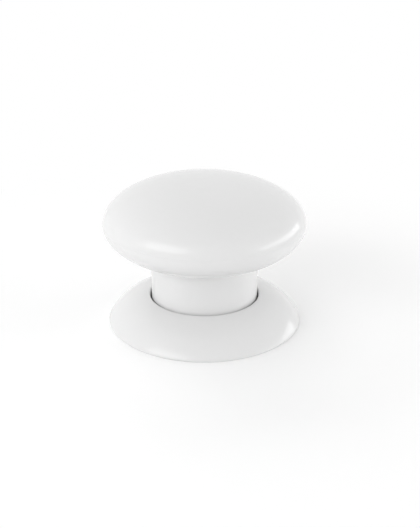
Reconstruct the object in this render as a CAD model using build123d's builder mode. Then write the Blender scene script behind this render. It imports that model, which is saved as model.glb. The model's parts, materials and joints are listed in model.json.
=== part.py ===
from build123d import *
import math
import os

# A press button for the home: a mushroom cap on a stem stands in a flared base.
# The cap slides down on a core, which holds the cell and the electronics. The core
# turns in the base on a bayonet, and a cover turned with a coin closes the cell tube.
# Lengths are millimetres and angles are degrees. The origin is the bottom centre of
# the base, and +Z is up. Angles run anticlockwise from +X, seen from above.

os.makedirs("parts", exist_ok=True)

# Clearances, and the overrun of every cut
seat_gap = 0.05
slide_gap = 0.15
stop_gap = 0.25
wide_gap = 0.3
overrun = 1.0

# Lithium cell, half the length of a pen cell
cell_radius = 7.25
cell_play = 0.2
cell_length = 25.0
cell_sleeve = 0.15
cell_crimp_depth = 0.6
cell_crimp_width = 1.1
cell_edge = 0.6
terminal_radius = 2.8
terminal_height = 1.5
terminal_edge = 0.5
header_radius = 4.6

# Press
press_travel = 1.0

# Base, from the surface up
pad_thickness = 0.6
plate_thickness = 0.9
skirt_width = 9.75
base_rim_height = 0.5
base_rim_chamfer = 0.17
base_edge_height = 6.45
base_bulge = 1.42
base_wall = 1.4
hole_gap = 0.3
hole_lip = 0.6
collar_wall = 1.2
ring_wall = 1.1
ring_rise = 0.3
rim_wall = 1.7
tab_depth = 1.4
tab_thickness = 0.8
pad_margin = 2.1
base_rib_thickness = 1.0
base_rib_count = 6

# Bayonet
lug_angles = [90.0, 210.0, 330.0]
lug_span = 24.0
tab_span = 30.0
twist_range = 32.0
stop_span = 4.0
lug_play = 1.5
foot_flange = 1.1
hub_rise = 0.85
detent_radius = 0.6
detent_reach = 0.25

# Base screws
base_screw_radius = 0.8
base_screw_head_radius = 1.5
base_screw_head_height = 0.6
base_screw_length = 3.2
base_boss_wall = 1.0
drive_radius = 0.55
drive_depth = 0.35

# Core tube, foot sleeve and keys
tube_wall = 1.2
roof_thickness = 0.9
roof_edge = 0.3
sleeve_wall = 0.85
sleeve_length = 7.85
key_angles = [0.0, 120.0, 240.0]
key_drop = 0.6
key_height = 1.05
key_width = 1.6
guide_width = 0.9
barb_angles = [30.0, 150.0, 270.0]
barb_reach = 0.55
barb_height = 1.3
barb_width = 3.0
barb_rise = 3.6

# Battery cover
cover_thickness = 1.0
cover_lip = 0.45
ear_angles = [0.0, 180.0]
ear_reach = 1.0
ear_span = 30.0
ear_notch_span = 38.0
cover_turn = 40.0
coin_slot_width = 1.4
coin_slot_depth = 0.5
coin_slot_length = 11.0

# Contacts, cut from spring strip
strip_thickness = 0.3
strip_width = 3.0
strip_foot = 0.9
positive_reach = 2.0
contact_thickness = 0.25
contact_rise = 0.6
finger_width = 1.6
finger_hub_radius = 1.5
finger_count = 3
contact_margin = 0.5

# Stem
stem_wall = 1.3
stem_flare = 0.05
stem_fillet = 0.8
stem_end_chamfer = 0.15
spring_collar_wall = 0.5
spring_collar_depth = 0.6
ledge_thickness = 1.2
guide_rise = 3.45

# Cap
cap_radius = 23.0
dome_rise = 9.9
cap_underside_depth = 9.7
dome_wall = 1.6
underside_wall = 1.5
head_room = 1.5
tongue_width = 0.6
tongue_height = 1.1
post_radius = 1.9
cap_rib_thickness = 0.9
cap_rib_depth = 1.2

# Deck and circuit board
deck_drop = 4.5
deck_thickness = 1.2
deck_margin = 0.9
deck_rib_depth = 2.35
deck_rib_thickness = 1.0
deck_rib_count = 6
board_standoff = 1.0
board_thickness = 1.0
board_overhang = 0.2
board_hole_gap = 0.65
deck_post_radius = 1.9
board_key_width = 1.6
board_key_depth = 1.1

# Board screws
board_screw_radius = 0.8
board_screw_head_radius = 1.5
board_screw_head_height = 0.8
board_screw_length = 3.6
board_screw_edge = 0.35

# Long-travel push switches
switch_side = 6.0
switch_height = 3.5
switch_cover_thickness = 0.3
switch_cover_side = 5.6
switch_leg_width = 0.7
switch_leg_reach = 0.8
switch_corner = 0.5
plunger_radius = 1.7
plunger_hole_gap = 0.1
plunger_rise = 1.3
plunger_depth = 0.9
plunger_edge = 0.25

# Other parts on the board
chip_side = 4.0
chip_height = 0.85
crystal_length = 3.2
crystal_width = 2.5
crystal_height = 0.7
crystal_corner = 0.3
crystal_foot = 0.2
inductor_side = 3.2
inductor_height = 1.6
inductor_core_radius = 1.3
led_length = 3.2
led_width = 2.8
led_height = 1.6
led_lens_radius = 1.2
led_lens_depth = 0.3
led_inset = 0.3
capacitor_radius = 2.0
capacitor_height = 5.2
capacitor_base_side = 4.3
capacitor_base_height = 0.7
capacitor_edge = 0.3
passive_length = 1.6
passive_width = 0.8
passive_height = 0.6
antenna_thickness = 0.4
antenna_height = 2.8
antenna_band = 1.2
antenna_inset = 0.5
antenna_length = 20.0
antenna_leg_width = 1.7

# Return spring
spring_wire_radius = 0.3
spring_turns = 5
spring_gap = 0.4

# Angles of the parts on the board
switch_angles = [90.0, 210.0, 330.0]
screw_angles = [30.0, 150.0, 270.0]
positive_angle = 60.0
negative_angle = 300.0
led_angle = 60.0
capacitor_angle = 120.0
inductor_angle = 180.0
crystal_angle = 240.0
chip_angle = 0.0
antenna_angle = 270.0
passive_angles = [15.0, 135.0, 165.0, 255.0, 285.0]
board_key_angle = 45.0

# Heights of the base
plate_top = pad_thickness + plate_thickness
foot_bottom = plate_top + slide_gap
flange_top = foot_bottom + foot_flange
tab_bottom = flange_top + slide_gap
tab_top = tab_bottom + tab_thickness
ring_top = tab_top + ring_rise
stem_bottom = tab_top + press_travel + stop_gap

# Heights of the core
cover_top = foot_bottom + cover_thickness
tube_bottom = flange_top
hub_top = flange_top + hub_rise
sleeve_top = foot_bottom + sleeve_length
key_top = sleeve_top - key_drop
ear_bottom = foot_bottom + cover_lip + 2 * seat_gap
cell_bottom = cover_top + contact_thickness + contact_rise
cell_top = cell_bottom + cell_length
can_top = cell_top - terminal_height
positive_bottom = cell_top + seat_gap
roof_bottom = positive_bottom + strip_thickness + slide_gap
roof_top = roof_bottom + roof_thickness

# Heights of the cap, and of the deck and board inside it
overall_height = roof_top + head_room + press_travel + dome_wall
equator = overall_height - dome_rise
deck_bottom = equator - deck_drop
deck_top = deck_bottom + deck_thickness
board_bottom = deck_top + board_standoff
board_top = board_bottom + board_thickness
ledge_top = deck_bottom - deck_rib_depth - seat_gap
ledge_bottom = ledge_top - ledge_thickness
switch_top = board_top + switch_height
plunger_top = switch_top + plunger_rise
post_bottom = plunger_top + seat_gap

# Radii from the cell outwards
tube_bore = cell_radius + cell_play
tube_radius = tube_bore + tube_wall
sleeve_bore = tube_radius + seat_gap * 2
sleeve_radius = sleeve_bore + sleeve_wall
key_radius = sleeve_radius + key_height
stem_bore = key_radius + wide_gap
guide_radius = sleeve_radius + stop_gap
stem_bottom_radius = stem_bore + stem_wall
stem_top_radius = stem_bottom_radius + stem_flare
hole_radius = stem_bottom_radius + hole_gap
ring_bore = hole_radius + seat_gap
ring_radius = ring_bore + ring_wall
collar_radius = hole_radius + collar_wall
tab_radius = ring_bore - tab_depth
flange_radius = tab_radius - wide_gap
lug_radius = ring_bore - wide_gap
detent_circle = ring_bore + detent_radius - detent_reach
hub_radius = stem_bore - wide_gap - seat_gap
base_radius = hole_radius + skirt_width
seat_radius = base_radius - rim_wall
plate_radius = seat_radius - slide_gap
pad_radius = plate_radius - pad_margin
boss_radius = base_screw_radius + base_boss_wall
boss_circle = ring_radius + boss_radius + stop_gap
cover_radius = sleeve_bore - wide_gap
ear_radius = cover_radius + ear_reach
groove_radius = ear_radius + wide_gap
contact_radius = tube_bore - contact_margin
ledge_radius = tube_radius + wide_gap
spring_radius = tube_radius + spring_gap + spring_wire_radius
spring_collar_bore = spring_radius + spring_wire_radius + stop_gap

# Inside of the cap, and the deck and board that it leaves room for
dome_inner_radius = cap_radius - dome_wall
dome_inner_rise = dome_rise - dome_wall
underside_inner_radius = cap_radius - underside_wall
underside_inner_depth = cap_underside_depth - underside_wall
tongue_radius = dome_inner_radius + tongue_width

# Handle length of a curve through a quarter turn, as a share of its radius
quarter_share = 4 / 3 * math.tan(math.pi / 8)


def ellipse_reach(distance, semi_along, semi_across):
    """Half width of an ellipse at a distance from its centre along the other axis."""
    return semi_across * math.sqrt(1 - (distance / semi_along) ** 2)


deck_radius = ellipse_reach(deck_drop, underside_inner_depth, underside_inner_radius) - deck_margin
board_radius = deck_radius + board_overhang
board_bore = tube_radius + board_hole_gap
component_circle = (board_bore + board_radius) / 2
led_circle = board_radius - led_inset - led_width / 2

# Centre and radii of the arc that the base's skin turns about
base_chord = math.hypot(base_radius - hole_radius, base_edge_height - base_rim_height)
skin_radius = base_chord**2 / (8 * base_bulge) + base_bulge / 2
skin_inner_radius = skin_radius - base_wall
skin_arc = RadiusArc((hole_radius, base_edge_height), (base_radius, base_rim_height), skin_radius)
skin_centre = skin_arc.arc_center


def skin_height(radius):
    """Height of the inside of the base's skin at a radius."""
    return skin_centre.Y + ellipse_reach(radius - skin_centre.X, skin_inner_radius, skin_inner_radius)


def skin_reach(height):
    """Radius of the inside of the base's skin at a height."""
    return skin_centre.X + ellipse_reach(height - skin_centre.Y, skin_inner_radius, skin_inner_radius)


def radial_plane(angle):
    """Upright plane through the Z axis, with its X axis pointing out at the angle."""
    outward = Vector(1, 0, 0).rotate(Axis.Z, angle)
    return Plane(origin=(0, 0, 0), x_dir=outward, z_dir=outward.cross(Vector(0, 0, 1)))


def level_plane(angle, radius, height):
    """Level plane at a place round the Z axis, with its X axis pointing out."""
    outward = Vector(1, 0, 0).rotate(Axis.Z, angle)
    place = outward * radius + Vector(0, 0, height)
    return Plane(origin=place, x_dir=outward, z_dir=(0, 0, 1))


def draw_box(low_x, low_y, high_x, high_y, mode=Mode.ADD):
    """Draw a rectangle between two corners in the open sketch."""
    with Locations(((low_x + high_x) / 2, (low_y + high_y) / 2)):
        Rectangle(high_x - low_x, high_y - low_y, mode=mode)


def draw_sector(inner_radius, outer_radius, centre_angle, span):
    """Draw a sector of a ring in the open sketch."""
    with BuildLine() as outline:
        inner = CenterArc((0, 0), inner_radius, centre_angle - span / 2, span)
        outer = CenterArc((0, 0), outer_radius, centre_angle - span / 2, span)
        Line(inner @ 0, outer @ 0)
        Line(inner @ 1, outer @ 1)
    make_face(outline.edges())


def draw_quarter_ellipse(radius, rise, mode=Mode.ADD):
    """Draw the quarter of an ellipse from the axis to the cap's equator; a minus rise hangs."""
    with BuildLine() as outline:
        Bezier(
            (0, equator + rise),
            (quarter_share * radius, equator + rise),
            (radius, equator + quarter_share * rise),
            (radius, equator),
        )
        Polyline((radius, equator), (0, equator), (0, equator + rise))
    make_face(outline.edges(), mode=mode)


# Adhesive pad: a foam disc, level with the rim of the base
with BuildPart() as adhesive_pad:
    with BuildSketch(Plane.XY):
        Circle(pad_radius)
    extrude(amount=pad_thickness)

adhesive_pad.part.label = "adhesive_pad"
export_step(adhesive_pad.part, "parts/adhesive_pad.step")


# Base shell: the flared skin that shows, with a collar round the stem
with BuildPart() as base_hollow:
    with BuildSketch(Plane.XZ):
        with BuildLine():
            ceiling = RadiusArc(
                (collar_radius, skin_height(collar_radius)),
                (skin_reach(plate_top), plate_top),
                skin_inner_radius,
            )
            Polyline(
                ceiling @ 1,
                (seat_radius, plate_top),
                (seat_radius, -overrun),
                (collar_radius, -overrun),
                ceiling @ 0,
            )
        make_face()
        draw_box(hole_radius - overrun, -overrun, collar_radius, ring_top + seat_gap)
    revolve(axis=Axis.Z)
    # Screw bosses and ribs stay standing in the hollow
    with BuildSketch(Plane.XY.offset(plate_top)):
        with PolarLocations(boss_circle, len(screw_angles), start_angle=screw_angles[0]):
            Circle(boss_radius)
        with PolarLocations(0, base_rib_count):
            draw_box(collar_radius, -base_rib_thickness / 2, base_radius, base_rib_thickness / 2)
    extrude(amount=base_edge_height, mode=Mode.SUBTRACT)

with BuildPart() as base_shell:
    with BuildSketch(Plane.XZ) as base_section:
        with BuildLine():
            skin = RadiusArc(
                (hole_radius, base_edge_height), (base_radius, base_rim_height), skin_radius
            )
            Polyline(
                skin @ 1,
                (base_radius, base_rim_chamfer),
                (base_radius - base_rim_chamfer, 0),
                (hole_radius, 0),
                skin @ 0,
            )
        make_face()
        fillet(base_section.vertices().sort_by_distance((hole_radius, base_edge_height))[0], hole_lip)
    revolve(axis=Axis.Z)
    add(base_hollow.part, mode=Mode.SUBTRACT)
    with BuildSketch(Plane.XY.offset(plate_top)):
        with PolarLocations(boss_circle, len(screw_angles), start_angle=screw_angles[0]):
            Circle(base_screw_radius + seat_gap)
    extrude(amount=base_screw_length - plate_thickness + slide_gap, mode=Mode.SUBTRACT)

base_shell.part.label = "base_shell"
export_step(base_shell.part, "parts/base_shell.step")


# Base plate: closes the shell from below and holds the bayonet ring
ring_middle = (ring_bore + ring_radius) / 2
stop_lead = (lug_span + stop_span) / 2 + lug_play
stop_angles = [angle - stop_lead for angle in lug_angles]
stop_angles += [angle + twist_range + stop_lead for angle in lug_angles]

with BuildPart() as base_plate:
    with BuildSketch(Plane.XY.offset(pad_thickness)):
        Circle(plate_radius)
    extrude(amount=plate_thickness)
    with BuildSketch(Plane.XY.offset(plate_top)):
        Circle(ring_radius)
        Circle(ring_bore, mode=Mode.SUBTRACT)
    extrude(amount=ring_top - plate_top)
    with BuildSketch(Plane.XY.offset(tab_bottom)):
        for angle in lug_angles:
            draw_sector(tab_radius, ring_middle, angle, tab_span)
    extrude(amount=tab_thickness)
    with BuildSketch(Plane.XY.offset(plate_top)):
        for angle in stop_angles:
            draw_sector(tab_radius, ring_middle, angle, stop_span)
    extrude(amount=tab_top - plate_top)
    # A detent on the ring for each lug, which marks the locked place
    with BuildSketch(Plane.XY.offset(plate_top)):
        with PolarLocations(detent_circle, len(lug_angles), start_angle=lug_angles[0]):
            Circle(detent_radius)
    extrude(amount=flange_top - plate_top)
    # Windows under the tabs, which the mould needs
    with BuildSketch(Plane.XY.offset(pad_thickness)):
        for angle in lug_angles:
            draw_sector(tab_radius, ring_bore, angle, lug_span)
    extrude(amount=plate_thickness, mode=Mode.SUBTRACT)
    for angle in screw_angles:
        place = level_plane(angle, boss_circle, pad_thickness).origin
        with Locations(Plane(origin=place, z_dir=(0, 0, -1))):
            CounterSinkHole(base_screw_radius + seat_gap, base_screw_head_radius + seat_gap)

base_plate.part.label = "base_plate"
export_step(base_plate.part, "parts/base_plate.step")


# Base screws: countersunk, from below
with BuildPart() as base_screws:
    for angle in screw_angles:
        with BuildSketch(radial_plane(angle)):
            with BuildLine():
                Polyline(
                    (boss_circle, pad_thickness),
                    (boss_circle + base_screw_head_radius, pad_thickness),
                    (boss_circle + base_screw_radius, pad_thickness + base_screw_head_height),
                    (boss_circle + base_screw_radius, pad_thickness + base_screw_length),
                    (boss_circle, pad_thickness + base_screw_length),
                    close=True,
                )
            make_face()
        revolve(axis=Axis(level_plane(angle, boss_circle, 0).origin, (0, 0, 1)))
    with BuildSketch(Plane.XY.offset(pad_thickness)):
        with PolarLocations(boss_circle, len(screw_angles), start_angle=screw_angles[0]):
            RegularPolygon(drive_radius, 6)
    extrude(amount=drive_depth, mode=Mode.SUBTRACT)

base_screws.part.label = "base_screws"
export_step(base_screws.part, "parts/base_screws.step")


# Bayonet foot: a sleeve that snaps onto the core tube, with lugs, keys and a cover seat
with BuildPart() as bayonet_foot:
    with BuildSketch(Plane.XZ):
        draw_box(sleeve_bore, foot_bottom, sleeve_radius, sleeve_top)
        draw_box(sleeve_bore, foot_bottom, flange_radius, flange_top)
        draw_box(sleeve_bore, flange_top, hub_radius, hub_top)
        draw_box(
            sleeve_bore - overrun, foot_bottom + cover_lip, groove_radius, flange_top, Mode.SUBTRACT
        )
    revolve(axis=Axis.Z)
    with BuildSketch(Plane.XY.offset(foot_bottom)):
        for angle in lug_angles:
            draw_sector(hub_radius, lug_radius, angle, lug_span)
        with PolarLocations(detent_circle, len(lug_angles), start_angle=lug_angles[0]):
            Circle(detent_radius + stop_gap, mode=Mode.SUBTRACT)
    extrude(amount=foot_flange)
    with BuildSketch(Plane.XY.offset(hub_top)):
        with PolarLocations(0, len(key_angles), start_angle=key_angles[0]):
            draw_box(sleeve_radius - sleeve_wall / 2, -key_width / 2, key_radius, key_width / 2)
    extrude(amount=key_top - hub_top)
    # Notches that let the ears of the cover in
    with BuildSketch(Plane.XY.offset(foot_bottom)):
        for angle in ear_angles:
            draw_sector(sleeve_bore - overrun, groove_radius, angle - cover_turn, ear_notch_span)
    extrude(amount=cover_lip, mode=Mode.SUBTRACT)
    # Windows that the barbs of the tube snap into
    with BuildSketch(Plane.XY.offset(tube_bottom + barb_rise - slide_gap)):
        with PolarLocations(0, len(barb_angles), start_angle=barb_angles[0]):
            draw_box(
                tube_bore,
                -barb_width / 2 - slide_gap,
                sleeve_radius + overrun,
                barb_width / 2 + slide_gap,
            )
    extrude(amount=barb_height + 2 * slide_gap, mode=Mode.SUBTRACT)

bayonet_foot.part.label = "bayonet_foot"
export_step(bayonet_foot.part, "parts/bayonet_foot.step")


# Battery cover: turned with a coin once the cap is off its base
with BuildPart() as battery_cover:
    with BuildSketch(Plane.XY.offset(foot_bottom)):
        Circle(cover_radius)
    extrude(amount=cover_thickness)
    with BuildSketch(Plane.XY.offset(ear_bottom)):
        for angle in ear_angles:
            draw_sector(cover_radius - ear_reach, ear_radius, angle, ear_span)
    extrude(amount=cover_top - ear_bottom)
    with BuildSketch(Plane.XY.offset(foot_bottom)):
        SlotOverall(coin_slot_length, coin_slot_width)
    extrude(amount=coin_slot_depth, mode=Mode.SUBTRACT)

battery_cover.part.label = "battery_cover"
export_step(battery_cover.part, "parts/battery_cover.step")


# Negative contact: a disc on the cover, with three leaves that press on the cell
leaf_top = cell_bottom - seat_gap
leaf_bend = (finger_hub_radius + contact_radius) / 2
leaf_tip = (leaf_bend + contact_radius) / 2

with BuildPart() as negative_contact:
    with BuildSketch(Plane.XY.offset(cover_top)):
        Circle(contact_radius)
        with PolarLocations(0, finger_count):
            draw_box(
                finger_hub_radius,
                -finger_width / 2 - slide_gap,
                leaf_tip + slide_gap,
                finger_width / 2 + slide_gap,
                Mode.SUBTRACT,
            )
    extrude(amount=contact_thickness)
    for number in range(finger_count):
        with BuildSketch(radial_plane(360 * number / finger_count)):
            with BuildLine():
                Polyline(
                    (0, cover_top),
                    (finger_hub_radius, cover_top),
                    (leaf_bend, leaf_top - contact_thickness),
                    (leaf_tip, leaf_top - contact_thickness),
                    (leaf_tip, leaf_top),
                    (leaf_bend, leaf_top),
                    (finger_hub_radius, cover_top + contact_thickness),
                    (0, cover_top + contact_thickness),
                    close=True,
                )
            make_face()
        extrude(amount=finger_width / 2, both=True)

negative_contact.part.label = "negative_contact"
export_step(negative_contact.part, "parts/negative_contact.step")


# Core chassis: the cell tube, with a ribbed deck that carries the circuit board
rib_foot = deck_bottom - deck_rib_depth
rib_start = stem_bore + stop_gap
rib_end = deck_radius - deck_margin
groove_floor = tube_radius - strip_thickness - 2 * slide_gap
strip_inner = groove_floor + seat_gap
strip_bottom = cover_top + contact_thickness + seat_gap

with BuildPart() as core_chassis:
    with BuildSketch(Plane.XZ):
        draw_box(tube_bore, tube_bottom, tube_radius, roof_bottom)
        draw_box(0, roof_bottom, tube_radius, roof_top)
        draw_box(tube_bore, deck_bottom, deck_radius, deck_top)
    revolve(axis=Axis.Z)
    fillet(core_chassis.faces().sort_by(Axis.Z)[-1].edges(), roof_edge)
    # Ribs under the deck, whose feet stop the cap on its way up
    for number in range(deck_rib_count):
        with BuildSketch(radial_plane(360 * number / deck_rib_count)):
            with BuildLine():
                Polyline(
                    (tube_bore + tube_wall / 2, rib_foot),
                    (rib_start, rib_foot),
                    (rib_end, deck_bottom),
                    (tube_bore + tube_wall / 2, deck_bottom),
                    close=True,
                )
            make_face()
        extrude(amount=deck_rib_thickness / 2, both=True)
    # Posts for the board's screws and pads under the switches
    with BuildSketch(Plane.XY.offset(deck_top)):
        with PolarLocations(component_circle, len(screw_angles), start_angle=screw_angles[0]):
            Circle(deck_post_radius)
        with PolarLocations(component_circle, len(switch_angles), start_angle=switch_angles[0]):
            Rectangle(switch_side, deck_post_radius)
    extrude(amount=board_standoff)
    # Key at the rim that sets the board's angle
    with BuildSketch(level_plane(board_key_angle, 0, deck_top)):
        draw_box(
            deck_radius - board_key_depth,
            -board_key_width / 2,
            deck_radius - board_overhang,
            board_key_width / 2,
        )
    extrude(amount=board_top - deck_top)
    with BuildSketch(Plane.XY.offset(board_bottom)):
        with PolarLocations(component_circle, len(screw_angles), start_angle=screw_angles[0]):
            Circle(board_screw_radius + seat_gap)
    extrude(amount=-board_screw_length, mode=Mode.SUBTRACT)
    # Barbs that hold the foot
    for angle in barb_angles:
        with BuildSketch(radial_plane(angle)):
            with BuildLine():
                Polyline(
                    (tube_bore + tube_wall / 2, tube_bottom + barb_rise),
                    (tube_radius, tube_bottom + barb_rise),
                    (tube_radius + barb_reach, tube_bottom + barb_rise + barb_height),
                    (tube_bore + tube_wall / 2, tube_bottom + barb_rise + barb_height),
                    close=True,
                )
            make_face()
        extrude(amount=barb_width / 2, both=True)
    # Groove and notch for the negative strip
    with BuildSketch(level_plane(negative_angle, 0, tube_bottom)):
        draw_box(
            groove_floor, -strip_width / 2 - seat_gap, tube_radius, strip_width / 2 + seat_gap
        )
    extrude(amount=board_top + strip_thickness + slide_gap - tube_bottom, mode=Mode.SUBTRACT)
    with BuildSketch(level_plane(negative_angle, 0, tube_bottom)):
        draw_box(
            contact_radius, -strip_width / 2 - seat_gap, tube_radius, strip_width / 2 + seat_gap
        )
    extrude(amount=strip_bottom + strip_thickness + slide_gap - tube_bottom, mode=Mode.SUBTRACT)
    # Slot for the positive strip
    with BuildSketch(level_plane(positive_angle, 0, positive_bottom - seat_gap)):
        draw_box(
            contact_radius,
            -strip_width / 2 - seat_gap,
            tube_radius + overrun,
            strip_width / 2 + seat_gap,
        )
    extrude(amount=strip_thickness + slide_gap, mode=Mode.SUBTRACT)

core_chassis.part.label = "core_chassis"
export_step(core_chassis.part, "parts/core_chassis.step")


# Negative strip: from the cover's contact, up the groove, to the board
with BuildPart() as negative_strip:
    with BuildSketch(radial_plane(negative_angle)):
        draw_box(
            contact_radius - strip_foot,
            strip_bottom,
            strip_inner + strip_thickness,
            strip_bottom + strip_thickness,
        )
        draw_box(
            strip_inner, strip_bottom, strip_inner + strip_thickness, board_top + strip_thickness
        )
        draw_box(strip_inner, board_top, board_bore + strip_foot, board_top + strip_thickness)
    extrude(amount=strip_width / 2, both=True)

negative_strip.part.label = "negative_strip"
export_step(negative_strip.part, "parts/negative_strip.step")


# Positive contact: over the cell's terminal, out of the tube and down to the board
leg_inner = tube_radius + slide_gap

with BuildPart() as positive_contact:
    with BuildSketch(radial_plane(positive_angle)):
        draw_box(
            -positive_reach,
            positive_bottom,
            leg_inner + strip_thickness,
            positive_bottom + strip_thickness,
        )
        draw_box(leg_inner, board_top, leg_inner + strip_thickness, positive_bottom + strip_thickness)
        draw_box(leg_inner, board_top, board_bore + strip_foot, board_top + strip_thickness)
    extrude(amount=strip_width / 2, both=True)

positive_contact.part.label = "positive_contact"
export_step(positive_contact.part, "parts/positive_contact.step")


# Cell: a steel can with a crimped shoulder, in a thin sleeve, with its header and terminal
can_radius = cell_radius - cell_sleeve
crimp_height = can_top - cell_crimp_width

with BuildPart() as battery_can:
    with BuildSketch(Plane.XZ) as can_section:
        with BuildLine():
            Polyline(
                (0, cell_bottom),
                (can_radius, cell_bottom),
                (can_radius, crimp_height - cell_crimp_width / 2),
                (can_radius - cell_crimp_depth, crimp_height),
                (can_radius, crimp_height + cell_crimp_width / 2),
                (can_radius, can_top),
                (header_radius, can_top),
                (header_radius, can_top - cell_edge),
                (0, can_top - cell_edge),
                close=True,
            )
        make_face()
        fillet(can_section.vertices().sort_by_distance((can_radius, cell_bottom))[0], cell_edge)
    revolve(axis=Axis.Z)

battery_can.part.label = "battery_can"
export_step(battery_can.part, "parts/battery_can.step")

with BuildPart() as battery_sleeve:
    with BuildSketch(Plane.XY.offset(cell_bottom + cell_edge)):
        Circle(cell_radius)
        Circle(can_radius, mode=Mode.SUBTRACT)
    extrude(amount=crimp_height - cell_crimp_width / 2 - cell_bottom - cell_edge)

battery_sleeve.part.label = "battery_sleeve"
export_step(battery_sleeve.part, "parts/battery_sleeve.step")

with BuildPart() as battery_header:
    with BuildSketch(Plane.XY.offset(can_top - cell_edge)):
        Circle(header_radius)
    extrude(amount=cell_edge)

battery_header.part.label = "battery_header"
export_step(battery_header.part, "parts/battery_header.step")

with BuildPart() as battery_terminal:
    with BuildSketch(Plane.XY.offset(can_top)):
        Circle(terminal_radius)
    extrude(amount=terminal_height)
    fillet(battery_terminal.faces().sort_by(Axis.Z)[-1].edges(), terminal_edge)

battery_terminal.part.label = "battery_terminal"
export_step(battery_terminal.part, "parts/battery_terminal.step")


# Circuit board: a ring round the cell tube
with BuildPart() as circuit_board:
    with BuildSketch(Plane.XY.offset(board_bottom)):
        Circle(board_radius)
        Circle(board_bore, mode=Mode.SUBTRACT)
        with PolarLocations(component_circle, len(screw_angles), start_angle=screw_angles[0]):
            Circle(board_screw_radius + slide_gap, mode=Mode.SUBTRACT)
    extrude(amount=board_thickness)
    with BuildSketch(level_plane(board_key_angle, 0, board_bottom)):
        draw_box(
            deck_radius - board_key_depth - slide_gap,
            -board_key_width / 2 - slide_gap,
            board_radius + overrun,
            board_key_width / 2 + slide_gap,
        )
    extrude(amount=board_thickness, mode=Mode.SUBTRACT)

circuit_board.part.label = "circuit_board"
export_step(circuit_board.part, "parts/circuit_board.step")


# Board screws: pan heads
with BuildPart() as board_screws:
    with BuildSketch(Plane.XY.offset(board_top)):
        with PolarLocations(component_circle, len(screw_angles), start_angle=screw_angles[0]):
            Circle(board_screw_head_radius)
    extrude(amount=board_screw_head_height)
    fillet(board_screws.faces().filter_by(Plane.XY).group_by(Axis.Z)[-1].edges(), board_screw_edge)
    with BuildSketch(Plane.XY.offset(board_top)):
        with PolarLocations(component_circle, len(screw_angles), start_angle=screw_angles[0]):
            Circle(board_screw_radius)
    extrude(amount=board_screw_head_height - board_screw_length)
    with BuildSketch(Plane.XY.offset(board_top + board_screw_head_height)):
        with PolarLocations(component_circle, len(screw_angles), start_angle=screw_angles[0]):
            RegularPolygon(drive_radius, 6)
    extrude(amount=-drive_depth, mode=Mode.SUBTRACT)

board_screws.part.label = "board_screws"
export_step(board_screws.part, "parts/board_screws.step")


# Push switches: each has a housing with four legs, a steel cover and a plunger
housing_top = switch_top - switch_cover_thickness

for number, angle in enumerate(switch_angles, start=1):
    with BuildPart() as switch_housing:
        with BuildSketch(level_plane(angle, component_circle, board_top)):
            RectangleRounded(switch_side, switch_side, switch_corner)
            with GridLocations(
                switch_side - 2 * switch_corner - switch_leg_width, switch_side + switch_leg_reach, 2, 2
            ):
                Rectangle(switch_leg_width, switch_leg_reach)
        extrude(amount=switch_cover_thickness)
        with BuildSketch(level_plane(angle, component_circle, board_top)):
            RectangleRounded(switch_side, switch_side, switch_corner)
        extrude(amount=housing_top - board_top)
        with BuildSketch(level_plane(angle, component_circle, housing_top)):
            Circle(plunger_radius + plunger_hole_gap)
        extrude(
            amount=switch_cover_thickness - plunger_depth - press_travel - slide_gap, mode=Mode.SUBTRACT
        )

    switch_housing.part.label = f"switch_housing_{number}"
    export_step(switch_housing.part, f"parts/switch_housing_{number}.step")

    with BuildPart() as switch_cover:
        with BuildSketch(level_plane(angle, component_circle, housing_top)):
            RectangleRounded(switch_cover_side, switch_cover_side, switch_corner)
            Circle(plunger_radius + plunger_hole_gap, mode=Mode.SUBTRACT)
        extrude(amount=switch_cover_thickness)

    switch_cover.part.label = f"switch_cover_{number}"
    export_step(switch_cover.part, f"parts/switch_cover_{number}.step")

    with BuildPart() as switch_plunger:
        with BuildSketch(level_plane(angle, component_circle, switch_top - plunger_depth)):
            Circle(plunger_radius)
        extrude(amount=plunger_depth + plunger_rise)
        chamfer(switch_plunger.faces().sort_by(Axis.Z)[-1].edges(), plunger_edge)

    switch_plunger.part.label = f"switch_plunger_{number}"
    export_step(switch_plunger.part, f"parts/switch_plunger_{number}.step")


# Radio chip: a flat square package
with BuildPart() as radio_chip:
    with BuildSketch(level_plane(chip_angle, component_circle, board_top)):
        Rectangle(chip_side, chip_side)
    extrude(amount=chip_height)

radio_chip.part.label = "radio_chip"
export_step(radio_chip.part, "parts/radio_chip.step")


# Crystal: a lid with rounded corners on a ceramic foot
with BuildPart() as crystal:
    with BuildSketch(level_plane(crystal_angle, component_circle, board_top)):
        Rectangle(crystal_width, crystal_length)
    extrude(amount=crystal_foot)
    with BuildSketch(level_plane(crystal_angle, component_circle, board_top)):
        RectangleRounded(
            crystal_width - crystal_foot, crystal_length - crystal_foot, crystal_corner
        )
    extrude(amount=crystal_height)

crystal.part.label = "crystal"
export_step(crystal.part, "parts/crystal.step")


# Power inductor: a square body with a round core
with BuildPart() as power_inductor:
    with BuildSketch(level_plane(inductor_angle, component_circle, board_top)):
        RectangleRounded(inductor_side, inductor_side, crystal_corner)
    extrude(amount=inductor_height)
    with BuildSketch(
        level_plane(inductor_angle, component_circle, board_top + inductor_height)
    ):
        Circle(inductor_core_radius)
        Circle(inductor_core_radius - crystal_foot, mode=Mode.SUBTRACT)
    extrude(amount=-crystal_foot, mode=Mode.SUBTRACT)

power_inductor.part.label = "power_inductor"
export_step(power_inductor.part, "parts/power_inductor.step")


# Indicator lamp: a white package with a round well
with BuildPart() as indicator_led:
    with BuildSketch(level_plane(led_angle, led_circle, board_top)):
        Rectangle(led_width, led_length)
    extrude(amount=led_height)
    with BuildSketch(level_plane(led_angle, led_circle, board_top + led_height)):
        Circle(led_lens_radius)
    extrude(amount=-led_lens_depth, mode=Mode.SUBTRACT)

indicator_led.part.label = "indicator_led"
export_step(indicator_led.part, "parts/indicator_led.step")


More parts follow.
